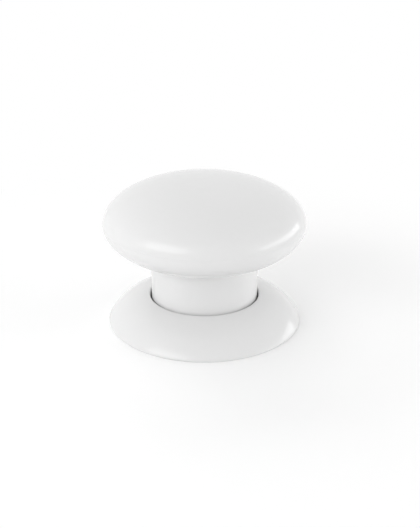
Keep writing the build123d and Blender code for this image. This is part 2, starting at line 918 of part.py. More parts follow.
# Storage capacitor: a can on a square foot with two cut corners
with BuildPart() as storage_capacitor:
    with BuildSketch(level_plane(capacitor_angle, component_circle, board_top)):
        Rectangle(capacitor_base_side, capacitor_base_side)
    extrude(amount=capacitor_base_height)
    with BuildSketch(level_plane(capacitor_angle, component_circle, board_top)):
        Circle(capacitor_radius)
    extrude(amount=capacitor_height)
    fillet(storage_capacitor.faces().sort_by(Axis.Z)[-1].edges(), capacitor_edge)

storage_capacitor.part.label = "storage_capacitor"
export_step(storage_capacitor.part, "parts/storage_capacitor.step")


# Small chip parts in the gaps between the larger ones
with BuildPart() as chip_passives:
    for angle in passive_angles:
        with BuildSketch(level_plane(angle, component_circle, board_top)):
            Rectangle(passive_length, passive_width)
        extrude(amount=passive_height)

chip_passives.part.label = "chip_passives"
export_step(chip_passives.part, "parts/chip_passives.step")


# Antenna: a curved strip on two legs at the board's rim
antenna_outer = board_radius - antenna_inset
antenna_inner = antenna_outer - antenna_thickness
antenna_span = math.degrees(antenna_length / antenna_outer)
antenna_leg_span = math.degrees(antenna_leg_width / antenna_outer)

with BuildPart() as antenna:
    with BuildSketch(Plane.XY.offset(board_top)):
        draw_sector(antenna_inner, antenna_outer, antenna_angle, antenna_span)
    extrude(amount=antenna_height)
    with BuildSketch(Plane.XY.offset(board_top)):
        draw_sector(
            antenna_inner - overrun,
            antenna_outer + overrun,
            antenna_angle,
            antenna_span - 2 * antenna_leg_span,
        )
    extrude(amount=antenna_height - antenna_band, mode=Mode.SUBTRACT)

antenna.part.label = "antenna"
export_step(antenna.part, "parts/antenna.step")


# Return spring: round the core tube, from the foot to the ledge in the stem
spring_length = ledge_bottom - sleeve_top

with BuildPart() as return_spring:
    with BuildLine(Plane.XY.offset(sleeve_top)) as coil:
        Helix(pitch=spring_length / spring_turns, height=spring_length, radius=spring_radius)
    with BuildSketch(Plane(origin=coil.line @ 0, z_dir=coil.line % 0)):
        Circle(spring_wire_radius)
    sweep(is_frenet=True)
    # Both ends are ground flat
    with BuildSketch(Plane.XY.offset(sleeve_top)):
        Circle(spring_radius + overrun)
    extrude(amount=spring_length, mode=Mode.INTERSECT)

return_spring.part.label = "return_spring"
export_step(return_spring.part, "parts/return_spring.step")


# Cap underside: the lower shell, with the stem, its ledge and the guides for the keys
junction_height = equator - ellipse_reach(stem_top_radius, cap_radius, cap_underside_depth)

with BuildPart() as cap_underside:
    with BuildSketch(Plane.XZ) as underside_section:
        draw_quarter_ellipse(cap_radius, -cap_underside_depth)
        with BuildLine():
            Polyline(
                (0, stem_bottom),
                (stem_bottom_radius - stem_end_chamfer, stem_bottom),
                (stem_bottom_radius, stem_bottom + stem_end_chamfer),
                (stem_top_radius, junction_height + seat_gap),
                (0, junction_height + seat_gap),
                close=True,
            )
        make_face()
        fillet(
            underside_section.vertices().sort_by_distance((stem_top_radius, junction_height))[0],
            stem_fillet,
        )
    revolve(axis=Axis.Z)
    # Hollow above the ledge, spring space below it, and the hole round the tube
    with BuildSketch(Plane.XZ):
        draw_quarter_ellipse(underside_inner_radius, -underside_inner_depth)
        draw_box(0, stem_bottom, cap_radius, ledge_top, Mode.SUBTRACT)
    revolve(axis=Axis.Z, mode=Mode.SUBTRACT)
    with BuildSketch(Plane.XY.offset(stem_bottom)):
        Circle(stem_bore)
    extrude(amount=ledge_bottom - stem_bottom, mode=Mode.SUBTRACT)
    with BuildSketch(Plane.XY.offset(stem_bottom)):
        Circle(ledge_radius)
    extrude(amount=equator - stem_bottom, mode=Mode.SUBTRACT)
    # Collar that centres the spring under the ledge
    with BuildSketch(Plane.XY.offset(ledge_bottom)):
        Circle(spring_collar_bore + spring_collar_wall)
        Circle(spring_collar_bore, mode=Mode.SUBTRACT)
    extrude(amount=-spring_collar_depth)
    # Tongue that locates the dome
    with BuildSketch(Plane.XZ):
        draw_box(
            dome_inner_radius, equator - tongue_height, tongue_radius, equator + tongue_height
        )
    revolve(axis=Axis.Z)
    # Pairs of guides that run on the keys of the foot
    guide_offset = key_width / 2 + slide_gap + guide_width / 2
    guide_root = stem_bore + stem_wall / 2
    with BuildSketch(Plane.XY.offset(stem_bottom)):
        with PolarLocations(0, len(key_angles), start_angle=key_angles[0]):
            with Locations(((guide_radius + guide_root) / 2, guide_offset)):
                Rectangle(guide_root - guide_radius, guide_width)
            with Locations(((guide_radius + guide_root) / 2, -guide_offset)):
                Rectangle(guide_root - guide_radius, guide_width)
    extrude(amount=guide_rise)

cap_underside.part.label = "cap_underside"
export_step(cap_underside.part, "parts/cap_underside.step")


# Cap dome: the upper shell, with a post over each switch and a rib behind it
rebate_top = equator + tongue_height + seat_gap

with BuildPart() as dome_posts:
    # A solid dome that ends halfway through the wall gives the posts their tops
    with BuildSketch(Plane.XZ):
        draw_quarter_ellipse(cap_radius - dome_wall / 2, dome_rise - dome_wall / 2)
    revolve(axis=Axis.Z)
    with BuildSketch(Plane.XY.offset(rebate_top)):
        with PolarLocations(component_circle, len(switch_angles), start_angle=switch_angles[0]):
            Circle(post_radius)
        with PolarLocations(0, len(switch_angles), start_angle=switch_angles[0]):
            draw_box(component_circle, -cap_rib_thickness / 2, cap_radius, cap_rib_thickness / 2)
    extrude(amount=dome_rise, mode=Mode.INTERSECT)
    # Clear space below the ribs, and below the posts
    with BuildSketch(Plane.XZ):
        draw_quarter_ellipse(dome_inner_radius - cap_rib_depth, dome_inner_rise - cap_rib_depth)
        draw_box(0, post_bottom, component_circle + post_radius, overall_height, Mode.SUBTRACT)
    revolve(axis=Axis.Z, mode=Mode.SUBTRACT)

with BuildPart() as cap_dome:
    with BuildSketch(Plane.XZ):
        draw_quarter_ellipse(cap_radius, dome_rise)
    revolve(axis=Axis.Z)
    # Hollow, with a rebate for the tongue of the underside
    with BuildSketch(Plane.XZ):
        draw_quarter_ellipse(dome_inner_radius, dome_inner_rise)
        draw_box(0, equator, tongue_radius + seat_gap, rebate_top)
    revolve(axis=Axis.Z, mode=Mode.SUBTRACT)
    add(dome_posts.part)

cap_dome.part.label = "cap_dome"
export_step(cap_dome.part, "parts/cap_dome.step")
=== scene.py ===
"""A white press button on a pale floor: its shells and return spring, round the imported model."""

import json
import math

import bmesh
import bpy
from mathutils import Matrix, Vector


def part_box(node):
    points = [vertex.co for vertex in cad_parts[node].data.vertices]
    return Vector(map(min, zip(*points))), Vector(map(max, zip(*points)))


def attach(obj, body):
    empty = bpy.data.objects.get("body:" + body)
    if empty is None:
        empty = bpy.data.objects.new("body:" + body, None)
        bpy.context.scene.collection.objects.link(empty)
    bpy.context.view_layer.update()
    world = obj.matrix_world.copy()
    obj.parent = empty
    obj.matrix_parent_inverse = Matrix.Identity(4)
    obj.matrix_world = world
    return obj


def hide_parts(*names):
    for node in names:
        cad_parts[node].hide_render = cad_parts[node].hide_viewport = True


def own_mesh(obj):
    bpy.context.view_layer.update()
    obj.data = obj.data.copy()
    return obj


bl_info = {
    "name": "Press Button",
    "version": (1, 0, 0),
    "blender": (4, 5, 0),
    "location": "3D View > Sidebar > Press Button",
    "description": "Models the shells and spring of a press button, and finishes and lights it",
    "category": "Object",
}

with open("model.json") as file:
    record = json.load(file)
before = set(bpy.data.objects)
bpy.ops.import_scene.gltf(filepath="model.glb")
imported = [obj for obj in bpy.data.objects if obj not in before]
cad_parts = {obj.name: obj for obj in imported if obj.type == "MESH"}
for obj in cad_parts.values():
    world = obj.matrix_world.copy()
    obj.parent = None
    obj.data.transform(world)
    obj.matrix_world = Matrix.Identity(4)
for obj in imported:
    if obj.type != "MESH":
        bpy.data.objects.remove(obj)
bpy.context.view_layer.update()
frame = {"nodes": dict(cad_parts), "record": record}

dome_low, dome_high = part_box("cap_dome")
stem_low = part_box("cap_underside")[0]
base_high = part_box("base_shell")[1]
plate_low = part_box("base_plate")[0]
plunger_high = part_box("switch_plunger_1")[1]

# Steps of a whole turn, of a curve of a section and of a rounding, and sides of a post
ROUND_STEPS = 192
CURVE_STEPS = 44
FILLET_STEPS = 8
LIP_STEPS = 10
POST_SIDES = 48
# Distances in metres: vertices that merge, and how near an edge lies to a ring that it is on
MERGE_DISTANCE = 1e-7
RING_REACH = 1e-5
# Edges sharper than this angle in degrees stay sharp
SHARP_ANGLE = 32
# Angles of the posts, key guides, screw bosses and ribs round the axis, in degrees
POST_TURNS = (90, 210, 330)
KEY_TURNS = (0, 120, 240)
BOSS_TURNS = (30, 150, 270)
RIB_TURNS = (0, 60, 120)
WHITE = (1, 1, 1, 1)
SENSOR_WIDTH = 36


def length(name, default, description):
    """A size in metres that a user can change."""
    return bpy.props.FloatProperty(
        name=name, default=default, description=description, unit="LENGTH", precision=5, min=0
    )


def count(name, default, description):
    """A whole number that a user can change."""
    return bpy.props.IntProperty(name=name, default=default, description=description, min=3)


def number(name, default, description):
    """A plain number that a user can change."""
    return bpy.props.FloatProperty(name=name, default=default, description=description, precision=4)


def colour(name, default, description):
    """A colour, written as it shows on a screen."""
    return bpy.props.FloatVectorProperty(
        name=name, default=default, description=description, subtype="COLOR_GAMMA", size=3
    )


class CapSizes(bpy.types.PropertyGroup):
    """Sizes of the two shells of the cap and of the stem."""

    radius: length("Radius", dome_high.x, "From the axis to the widest line of the cap")
    equator: length("Equator", dome_low.z, "Height of the widest line, where the shells meet")
    top: length("Top", dome_high.z, "Height of the top of the cap")
    underside_depth: length("Underside depth", 0.0097, "From the widest line to the lower pole")
    dome_wall: length("Dome wall", 0.0016, "Wall of the upper shell")
    underside_wall: length("Underside wall", 0.0015, "Wall of the lower shell")
    tongue_width: length("Tongue width", 0.0006, "Wall of the ring that locates the dome")
    tongue_height: length("Tongue height", 0.0011, "How far the ring stands into the dome")
    seat_gap: length("Seat gap", 0.00005, "Clearance between the ring and the dome")
    edge_break: length("Edge break", 0.00003, "Bevel on the moulded edges at the parting line")
    post_circle: length("Post circle", 0.01329, "Radius of the circle of the three posts")
    post_radius: length("Post radius", 0.0019, "Radius of a post over a switch")
    post_gap: length("Post gap", 0.00005, "Clearance between a post and its plunger")
    rib_thickness: length("Rib thickness", 0.0009, "Thickness of the rib behind a post")
    rib_depth: length("Rib depth", 0.0012, "How far a rib stands out of the wall")


class StemSizes(bpy.types.PropertyGroup):
    """Sizes of the stem, its ledge and its guides."""

    bottom: length("Bottom", stem_low.z, "Height of the end of the stem")
    bore: length("Bore", 0.01095, "Inner radius of the stem")
    bottom_radius: length("Bottom radius", 0.01225, "Outer radius at the end of the stem")
    top_radius: length("Top radius", 0.0123, "Outer radius under the cap")
    fillet: length("Fillet", 0.0008, "Fillet between the stem and the cap")
    end_break: length("End break", 0.00015, "Bevel at the end of the stem")
    ledge_bottom: length("Ledge bottom", 0.0160, "Height that the spring pushes on")
    ledge_top: length("Ledge top", 0.0172, "Height of the upper face of the ledge")
    ledge_radius: length("Ledge radius", 0.00895, "Radius of the hole round the cell tube")
    collar_bore: length("Collar bore", 0.0099, "Inner radius of the collar round the spring")
    collar_radius: length("Collar radius", 0.0104, "Outer radius of the collar")
    collar_depth: length("Collar depth", 0.0006, "How far the collar hangs from the ledge")
    guide_inner: length("Guide radius", 0.00985, "Inner radius of the guides for the keys")
    guide_width: length("Guide width", 0.0009, "Thickness of a guide")
    guide_offset: length("Guide offset", 0.0014, "From the middle of a key to a guide")
    guide_rise: length("Guide rise", 0.00345, "Height of a guide")


class SpringSizes(bpy.types.PropertyGroup):
    """Sizes of the return spring."""

    wire_radius: length("Wire radius", 0.0003, "Radius of the wire")
    travel: length("Travel", 0.001, "How far the spring shortens when the cap is pressed")
    turns: count("Turns", 5, "Turns of the wire")
    wire_sides: count("Wire sides", 12, "Sides of the wire's section")
    turn_steps: count("Turn steps", 64, "Straight steps in one turn")


class BaseSizes(bpy.types.PropertyGroup):
    """Sizes of the flared base."""

    radius: length("Radius", base_high.x, "From the axis to the rim")
    rim_height: length("Rim height", 0.0005, "Height of the upright rim")
    rim_chamfer: length("Rim chamfer", 0.00017, "Chamfer at the foot of the rim")
    hole_radius: length("Hole radius", 0.01255, "Radius of the hole round the stem")
    edge_height: length("Edge height", 0.00645, "Height of the edge of the hole, before its lip")
    bulge: length("Bulge", 0.00142, "Rise of the flared skin above its chord")
    wall: length("Wall", 0.0014, "Wall of the skin")
    lip: length("Lip", 0.0006, "Rounding of the edge of the hole")
    collar_radius: length("Collar radius", 0.01375, "Outer radius of the collar round the hole")
    collar_bottom: length("Collar bottom", 0.00405, "Height of the end of the collar")
    seat_radius: length("Seat radius", 0.0206, "Radius of the recess for the plate")
    boss_circle: length("Boss circle", 0.01575, "Radius of the circle of the screw bosses")
    boss_radius: length("Boss radius", 0.0018, "Radius of a screw boss")
    boss_bore: length("Boss bore", 0.00085, "Radius of the bore of a screw boss")
    boss_bore_depth: length("Boss bore depth", 0.00245, "Depth of the bore of a screw boss")
    rib_thickness: length("Rib thickness", 0.001, "Thickness of a rib under the skin")
    plate_thickness: length("Plate thickness", 0.0009, "Thickness of the base plate's disc")


class StageSettings(bpy.types.PropertyGroup):
    """Camera, floor and surround."""

    target_height: length("Target height", 0.015, "Height that the camera is aimed at")
    camera_distance: length("Camera distance", 0.22076, "From the target to the camera")
    camera_rise: number("Camera rise", 23.21, "Angle of the camera above the floor, in degrees")
    camera_lens: number("Lens", 65.41, "Focal length in millimetres")
    shift_x: number("Shift X", 0.0106, "Sideways shift of the picture, as a share of its size")
    shift_y: number("Shift Y", -0.0117, "Upward shift of the picture, as a share of its size")
    floor_side: length("Floor side", 6.0, "Side of the square floor")
    fade_start: length("Fade start", 0.045, "Where the floor starts to fade to plain white")
    fade_end: length("Fade end", 0.110, "Where the floor is plain white to the camera")
    floor_colour: colour("Floor", (1.0, 1.0, 1.0), "Colour of the floor")
    floor_dust: number("Floor dust", 0.004, "How much darker the floor's cloudy tone gets")
    surround_light: number("Surround light", 0.5, "Strength of the light from all round")


def space_evenly(first, last):
    """The values at the steps of a curve, from the first to the last."""
    return [first + (last - first) * step / CURVE_STEPS for step in range(CURVE_STEPS + 1)]


def draw_arc(start, end, bulge):
    """Centre, radius and points of a flat arc that rises by the bulge over its chord."""
    start, end = Vector(start), Vector(end)
    chord = end - start
    radius = chord.length**2 / (8 * bulge) + bulge / 2
    outward = Vector((-chord.y, chord.x)).normalized()
    if outward.y < 0:
        outward = -outward
    centre = (start + end) / 2 - outward * (radius - bulge)
    first = math.atan2(start.y - centre.y, start.x - centre.x)
    last = math.atan2(end.y - centre.y, end.x - centre.x)
    points = [
        (centre.x + radius * math.cos(turn), centre.y + radius * math.sin(turn))
        for turn in space_evenly(first, last)
    ]
    return centre, radius, points


def draw_quarter(radius, equator, rise, first, last):
    """Points of an ellipse round the axis, between two turns from its equator."""
    return [
        (radius * math.cos(turn), equator + rise * math.sin(turn))
        for turn in space_evenly(first, last)
    ]


def begin():
    """Leave nothing selected, so that a new primitive is alone."""
    if bpy.context.object and bpy.context.object.mode != "OBJECT":
        bpy.ops.object.mode_set(mode="OBJECT")
    bpy.ops.object.select_all(action="DESELECT")


def pick(piece):
    """Leave one piece selected and active."""
    begin()
    piece.select_set(True)
    bpy.context.view_layer.objects.active = piece


def name_piece(name):
    """Name the active object, and put its place into its mesh."""
    piece = bpy.context.object
    piece.name = name
    piece.data.name = name
    bpy.ops.object.transform_apply(location=True, rotation=True, scale=True)
    return piece


def turn_section(name, outline, closed):
    """Draw an outline of (radius, height) from one vertex, and spin it round the axis."""
    begin()
    bpy.ops.mesh.primitive_plane_add(size=0.001, location=(0, 0, 0))
    bpy.ops.object.mode_set(mode="EDIT")
    bpy.ops.mesh.select_mode(type="VERT")
    bpy.ops.mesh.select_all(action="SELECT")
    bpy.ops.mesh.merge(type="CENTER")
    bpy.ops.transform.translate(value=(outline[0][0], 0, outline[0][1]))
    points = outline + outline[:1] if closed else outline
    for here, there in zip(points, points[1:]):
        step = (there[0] - here[0], 0, there[1] - here[1])
        bpy.ops.mesh.extrude_region_move(TRANSFORM_OT_translate={"value": step})
    bpy.ops.mesh.select_all(action="SELECT")
    bpy.ops.mesh.spin(steps=ROUND_STEPS, angle=math.tau, center=(0, 0, 0), axis=(0, 0, 1))
    bpy.ops.mesh.select_all(action="SELECT")
    bpy.ops.mesh.remove_doubles(threshold=MERGE_DISTANCE)
    bpy.ops.mesh.normals_make_consistent(inside=False)
    bpy.ops.object.mode_set(mode="OBJECT")
    return name_piece(name)


def select_ring(piece, radius, height):
    """Select the edges of a ring at a radius and height, in edit mode."""
    bpy.ops.mesh.select_all(action="DESELECT")
    bpy.ops.mesh.select_mode(type="EDGE")
    mesh = bmesh.from_edit_mesh(piece.data)
    for edge in mesh.edges:
        ends = [Vector((math.hypot(v.co.x, v.co.y) - radius, v.co.z - height)) for v in edge.verts]
        edge.select_set(all(end.length < RING_REACH for end in ends))
    bmesh.update_edit_mesh(piece.data)


def round_ring(piece, radius, height, offset, steps):
    """Round the edge of a turned piece that runs at a radius and height."""
    pick(piece)
    bpy.ops.object.mode_set(mode="EDIT")
    select_ring(piece, radius, height)
    bpy.ops.mesh.bevel(offset=offset, segments=steps, affect="EDGES")
    bpy.ops.object.mode_set(mode="OBJECT")


def combine(piece, tool, operation):
    """Cut or join a piece with a tool, and delete the tool."""
    pick(piece)
    modifier = piece.modifiers.new("Combine", "BOOLEAN")
    modifier.operation = operation
    modifier.solver = "EXACT"
    modifier.object = tool
    bpy.ops.object.modifier_apply(modifier=modifier.name)
    bpy.data.objects.remove(tool)


def add_block(low, high, turn):
    """Add a block between two corners, turned round the axis by an angle in degrees."""
    begin()
    middle = (Vector(low) + Vector(high)) / 2
    size = Vector(high) - Vector(low)
    bpy.ops.mesh.primitive_cube_add(size=1, location=middle)
    bpy.ops.object.mode_set(mode="EDIT")
    bpy.ops.mesh.select_all(action="SELECT")
    bpy.ops.transform.resize(value=size, center_override=middle)
    bpy.ops.object.mode_set(mode="OBJECT")
    piece = name_piece("block")
    turn_piece(piece, turn)
    return piece


def add_post(radius, bottom, top, distance, turn):
    """Add an upright cylinder at a distance from the axis and an angle in degrees."""
    begin()
    place = (
        distance * math.cos(math.radians(turn)),
        distance * math.sin(math.radians(turn)),
        (bottom + top) / 2,
    )
    bpy.ops.mesh.primitive_cylinder_add(
        vertices=POST_SIDES, radius=radius, depth=top - bottom, location=place
    )
    return name_piece("post")


def turn_piece(piece, turn):
    """Turn a piece's mesh round the axis by an angle in degrees."""
    piece.rotation_euler.z = math.radians(turn)
    pick(piece)
    bpy.ops.object.transform_apply(location=True, rotation=True, scale=True)


def merge_all(pieces):
    """Unite pieces that may overlap into one solid."""
    first = pieces[0]
    for other in pieces[1:]:
        combine(first, other, "UNION")
    return first


def smooth(piece):
    """Shade a piece smooth, apart from its sharp edges."""
    pick(piece)
    bpy.ops.object.shade_smooth_by_angle(angle=math.radians(SHARP_ANGLE))


def dress(piece, slot):
    """Give a piece the finish of a material slot of the record."""
    piece.data.materials.clear()
    piece.data.materials.append(finish_of(slot))


def screen_to_light(value):
    """Turn one channel of a screen colour into a shader's linear value, by the sRGB curve."""
    return value / 12.92 if value <= 0.04045 else ((value + 0.055) / 1.055) ** 2.4


def shader_colour(values):
    """Turn a screen colour into a shader's colour."""
    return (*[screen_to_light(value) for value in values], 1.0)


class Signal:
    """A socket of a shader that takes Python's arithmetic."""

    def __init__(self, nodes, socket):
        self.nodes = nodes
        self.socket = socket

    def calculate(self, operation, first, second):
        """Add a Math node for two values or signals."""
        node = self.nodes.node("ShaderNodeMath", {"operation": operation}, {0: first, 1: second})
        return Signal(self.nodes, node.outputs[0])

    def __add__(self, other):
        return self.calculate("ADD", self, other)

    def __radd__(self, other):
        return self.calculate("ADD", other, self)

    def __mul__(self, other):
        return self.calculate("MULTIPLY", self, other)

    def __rmul__(self, other):
        return self.calculate("MULTIPLY", other, self)


class Nodes:
    """The shader nodes of a material or a world."""

    def __init__(self, owner):
        owner.use_nodes = True
        self.tree = owner.node_tree
        self.tree.nodes.clear()

    def node(self, kind, settings=None, inputs=None):
        """Add a node, set its settings, then its sockets by value or link."""
        node = self.tree.nodes.new(kind)
        for name, value in (settings or {}).items():
            setattr(node, name, value)
        for name, value in (inputs or {}).items():
            if isinstance(value, Signal):
                self.tree.links.new(value.socket, node.inputs[name])
            elif isinstance(value, bpy.types.NodeSocket):
                self.tree.links.new(value, node.inputs[name])
            else:
                node.inputs[name].default_value = value
        return node

    def seen(self):
        """1 for the rays that show what they meet: direct, in a reflection or through glass."""
        path = self.node("ShaderNodeLightPath")
        camera, glossy, transmission = (
            Signal(self, path.outputs[name])
            for name in ("Is Camera Ray", "Is Glossy Ray", "Is Transmission Ray")
        )
        return camera + glossy + transmission


class Finish(Nodes):
    """A material that is built node by node."""

    def __init__(self, name):
        self.material = bpy.data.materials.new(name)
        super().__init__(self.material)
        self.place = self.node("ShaderNodeTexCoord").outputs["Object"]

    def grain(self, scale, detail, stretch=(1, 1, 1)):
        """A noise from 0 to 1, with grains of about one over the scale in metres."""
        place = self.node("ShaderNodeMapping", {}, {"Vector": self.place, "Scale": stretch})
        noise = self.node(
            "ShaderNodeTexNoise", {}, {"Vector": place.outputs[0], "Scale": scale, "Detail": detail}
        )
        return Signal(self, noise.outputs["Fac"])

    def cells(self, scale):
        """Distance to the nearest of many scattered points."""
        pores = self.node("ShaderNodeTexVoronoi", {}, {"Vector": self.place, "Scale": scale})
        return Signal(self, pores.outputs["Distance"])

    def blend(self, factor, first, second):
        """Mix two screen colours by a factor."""
        mix = self.node(
            "ShaderNodeMix",
            {"data_type": "RGBA"},
            {"Factor": factor, 6: shader_colour(first), 7: shader_colour(second)},
        )
        return mix.outputs[2]

    def bump(self, height, depth, strength):
        """A bump normal from a height signal; the depth is in metres."""
        node = self.node(
            "ShaderNodeBump", {}, {"Height": height, "Distance": depth, "Strength": strength}
        )
        return node.outputs["Normal"]

    def close(self, **sockets):
        """Add the surface shader and the output, and hand back the material."""
        named = {name.replace("_", " ").title(): value for name, value in sockets.items()}
        shader = self.node("ShaderNodeBsdfPrincipled", {}, named)
        self.node("ShaderNodeOutputMaterial", {}, {"Surface": shader.outputs[0]})
        return self.material


def gloss_white(name, tone, shade):
    """Polished white moulding: a faint ripple of the mould, and a gloss that varies a little."""
    finish = Finish(name)
    ripple = finish.grain(scale=260, detail=2)
    haze = finish.grain(scale=900, detail=3)
    return finish.close(
        base_color=finish.blend(haze, tone, shade),
        roughness=0.14 + 0.06 * haze,
        normal=finish.bump(ripple, depth=0.00002, strength=0.12),
    )


def matt_moulding(name, tone, shade):
    """Plain moulding with a fine spark-eroded grain."""
    finish = Finish(name)
    fine = finish.grain(scale=2600, detail=4)
    cloud = finish.grain(scale=300, detail=2)
    return finish.close(
        base_color=finish.blend(cloud, tone, shade),
        roughness=0.44 + 0.14 * fine,
        normal=finish.bump(fine, depth=0.00004, strength=0.3),
    )


def plated_metal(name, tone, shade):
    """Drawn or stamped metal, with fine lines along the draw."""
    finish = Finish(name)
    lines = finish.grain(scale=900, detail=5, stretch=(1, 1, 14))
    cloud = finish.grain(scale=240, detail=2)
    return finish.close(
        base_color=finish.blend(cloud, tone, shade),
        metallic=0.97 + 0.03 * cloud,
        roughness=0.28 + 0.14 * lines,
        normal=finish.bump(lines, depth=0.00002, strength=0.25),
    )


def foam(name, tone, shade):
    """Closed-cell foam: small shallow pores, darkened in their hollows with painted shade."""
    finish = Finish(name)
    pores = finish.cells(scale=2400)
    cloud = finish.grain(scale=500, detail=3)
    return finish.close(
        # The sunken middle of each pore takes the darker colour: painted shade in the pores
        base_color=finish.blend(pores * 1.4, shade, tone),
        roughness=0.8 + 0.1 * cloud,
        normal=finish.bump(pores, depth=0.00012, strength=0.5),
    )


def laminate(name, tone, shade):
    """Circuit board: solder mask over a faint glass weave."""
    finish = Finish(name)
    warp = finish.grain(scale=1600, detail=1, stretch=(1, 0.06, 1))
    weft = finish.grain(scale=1600, detail=1, stretch=(0.06, 1, 1))
    weave = warp * weft
    return finish.close(
        base_color=finish.blend(weave * 2, shade, tone),
        roughness=0.3 + 0.12 * weave,
        normal=finish.bump(weave, depth=0.00003, strength=0.3),
    )


def film(name, tone, shade):
    """Shrunk plastic film, with slow waves."""
    finish = Finish(name)
    wave = finish.grain(scale=420, detail=2, stretch=(1, 1, 0.3))
    return finish.close(
        base_color=finish.blend(wave, tone, shade),
        roughness=0.2 + 0.1 * wave,
        normal=finish.bump(wave, depth=0.00006, strength=0.3),
    )


# Material slots: the kind of finish, its screen colour, and the shade that it varies to
FINISHES = {
    "case_white": (gloss_white, (0.880, 0.880, 0.880), (0.873, 0.873, 0.873)),
    "inner_plastic": (matt_moulding, (0.83, 0.83, 0.82), (0.80, 0.80, 0.79)),
    "foam_pad": (foam, (0.74, 0.74, 0.73), (0.62, 0.62, 0.61)),
    "screw_steel": (plated_metal, (0.68, 0.68, 0.69), (0.60, 0.60, 0.62)),
    "spring_strip": (plated_metal, (0.78, 0.77, 0.73), (0.70, 0.69, 0.66)),
    "cell_steel": (plated_metal, (0.74, 0.74, 0.75), (0.66, 0.66, 0.68)),
    "cell_sleeve": (film, (0.13, 0.36, 0.24), (0.11, 0.31, 0.21)),
    "cell_header": (film, (0.08, 0.09, 0.10), (0.12, 0.13, 0.14)),
    "board_laminate": (laminate, (0.05, 0.28, 0.14), (0.04, 0.22, 0.11)),
    "package_black": (matt_moulding, (0.10, 0.10, 0.11), (0.07, 0.07, 0.08)),
    "ferrite_black": (matt_moulding, (0.17, 0.17, 0.17), (0.11, 0.11, 0.12)),
    "switch_steel": (plated_metal, (0.72, 0.72, 0.72), (0.64, 0.64, 0.65)),
    "plunger_plastic": (matt_moulding, (0.77, 0.74, 0.64), (0.73, 0.70, 0.60)),
    "crystal_lid": (plated_metal, (0.76, 0.76, 0.78), (0.70, 0.70, 0.72)),
    "lamp_white": (matt_moulding, (0.92, 0.92, 0.88), (0.88, 0.88, 0.84)),
    "capacitor_aluminium": (plated_metal, (0.80, 0.80, 0.81), (0.74, 0.74, 0.75)),
    "chip_ceramic": (matt_moulding, (0.46, 0.37, 0.28), (0.38, 0.30, 0.22)),
    "antenna_brass": (plated_metal, (0.80, 0.67, 0.40), (0.74, 0.60, 0.34)),
    "spring_wire": (plated_metal, (0.66, 0.66, 0.67), (0.58, 0.58, 0.60)),
}


made_finishes = {}


def finish_of(slot):
    """The finish of a material slot, made once."""
    if slot not in made_finishes:
        build, tone, shade = FINISHES[slot]
        made_finishes[slot] = build(slot + "_finish", tone, shade)
    return made_finishes[slot]


class PRESSBUTTON_OT_cap_dome(bpy.types.Operator):
    """Model the upper shell of the cap, with its posts and ribs"""

    bl_idname = "pressbutton.cap_dome"
    bl_label = "Cap dome"

    def execute(self, context):
        cap = context.scene.press_button_cap
        rise = cap.top - cap.equator
        inner_radius = cap.radius - cap.dome_wall
        inner_rise = rise - cap.dome_wall
        rebate_radius = inner_radius + cap.tongue_width + cap.seat_gap
        rebate_top = cap.equator + cap.tongue_height + cap.seat_gap
        outer = draw_quarter(cap.radius, cap.equator, rise, math.pi / 2, 0)
        outer[-1] = (cap.radius, cap.equator + cap.edge_break)
        start = math.asin((rebate_top - cap.equator) / inner_rise)
        inner = draw_quarter(inner_radius, cap.equator, inner_rise, start, math.pi / 2)
        seat = [
            (cap.radius - cap.edge_break, cap.equator),
            (rebate_radius, cap.equator),
            (rebate_radius, rebate_top),
        ]
        dome = turn_section("cap_dome_shell", outer + seat + inner, closed=False)

        middle_radius = cap.radius - cap.dome_wall / 2
        middle_rise = rise - cap.dome_wall / 2
        blank = draw_quarter(middle_radius, cap.equator, middle_rise, 0, math.pi / 2)
        body = turn_section("dome_blank", blank + [(0, cap.equator)], closed=True)
        post_bottom = plunger_high.z + cap.post_gap
        posts = merge_all(
            [
                add_post(cap.post_radius, post_bottom, cap.top, cap.post_circle, turn)
                for turn in POST_TURNS
            ]
            + [
                add_block(
                    (cap.post_circle, -cap.rib_thickness / 2, rebate_top + cap.rib_depth),
                    (cap.radius, cap.rib_thickness / 2, cap.top),
                    turn,
                )
                for turn in POST_TURNS
            ]
        )
        # The ribs stand out of the wall by their depth, and the posts reach down alone
        low = draw_quarter(
            inner_radius - cap.rib_depth, cap.equator, inner_rise - cap.rib_depth, 0, math.pi / 2
        )
        clear = turn_section("dome_clear", low + [(0, cap.equator)], closed=True)
        column = add_post(cap.post_circle + cap.post_radius, post_bottom, cap.top, 0, 0)
        combine(clear, column, "DIFFERENCE")
        combine(posts, clear, "DIFFERENCE")
        combine(posts, body, "INTERSECT")
        combine(dome, posts, "UNION")
        smooth(dome)
        dress(dome, "case_white")
        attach(dome, "cap")
        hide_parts("cap_dome")
        return {"FINISHED"}


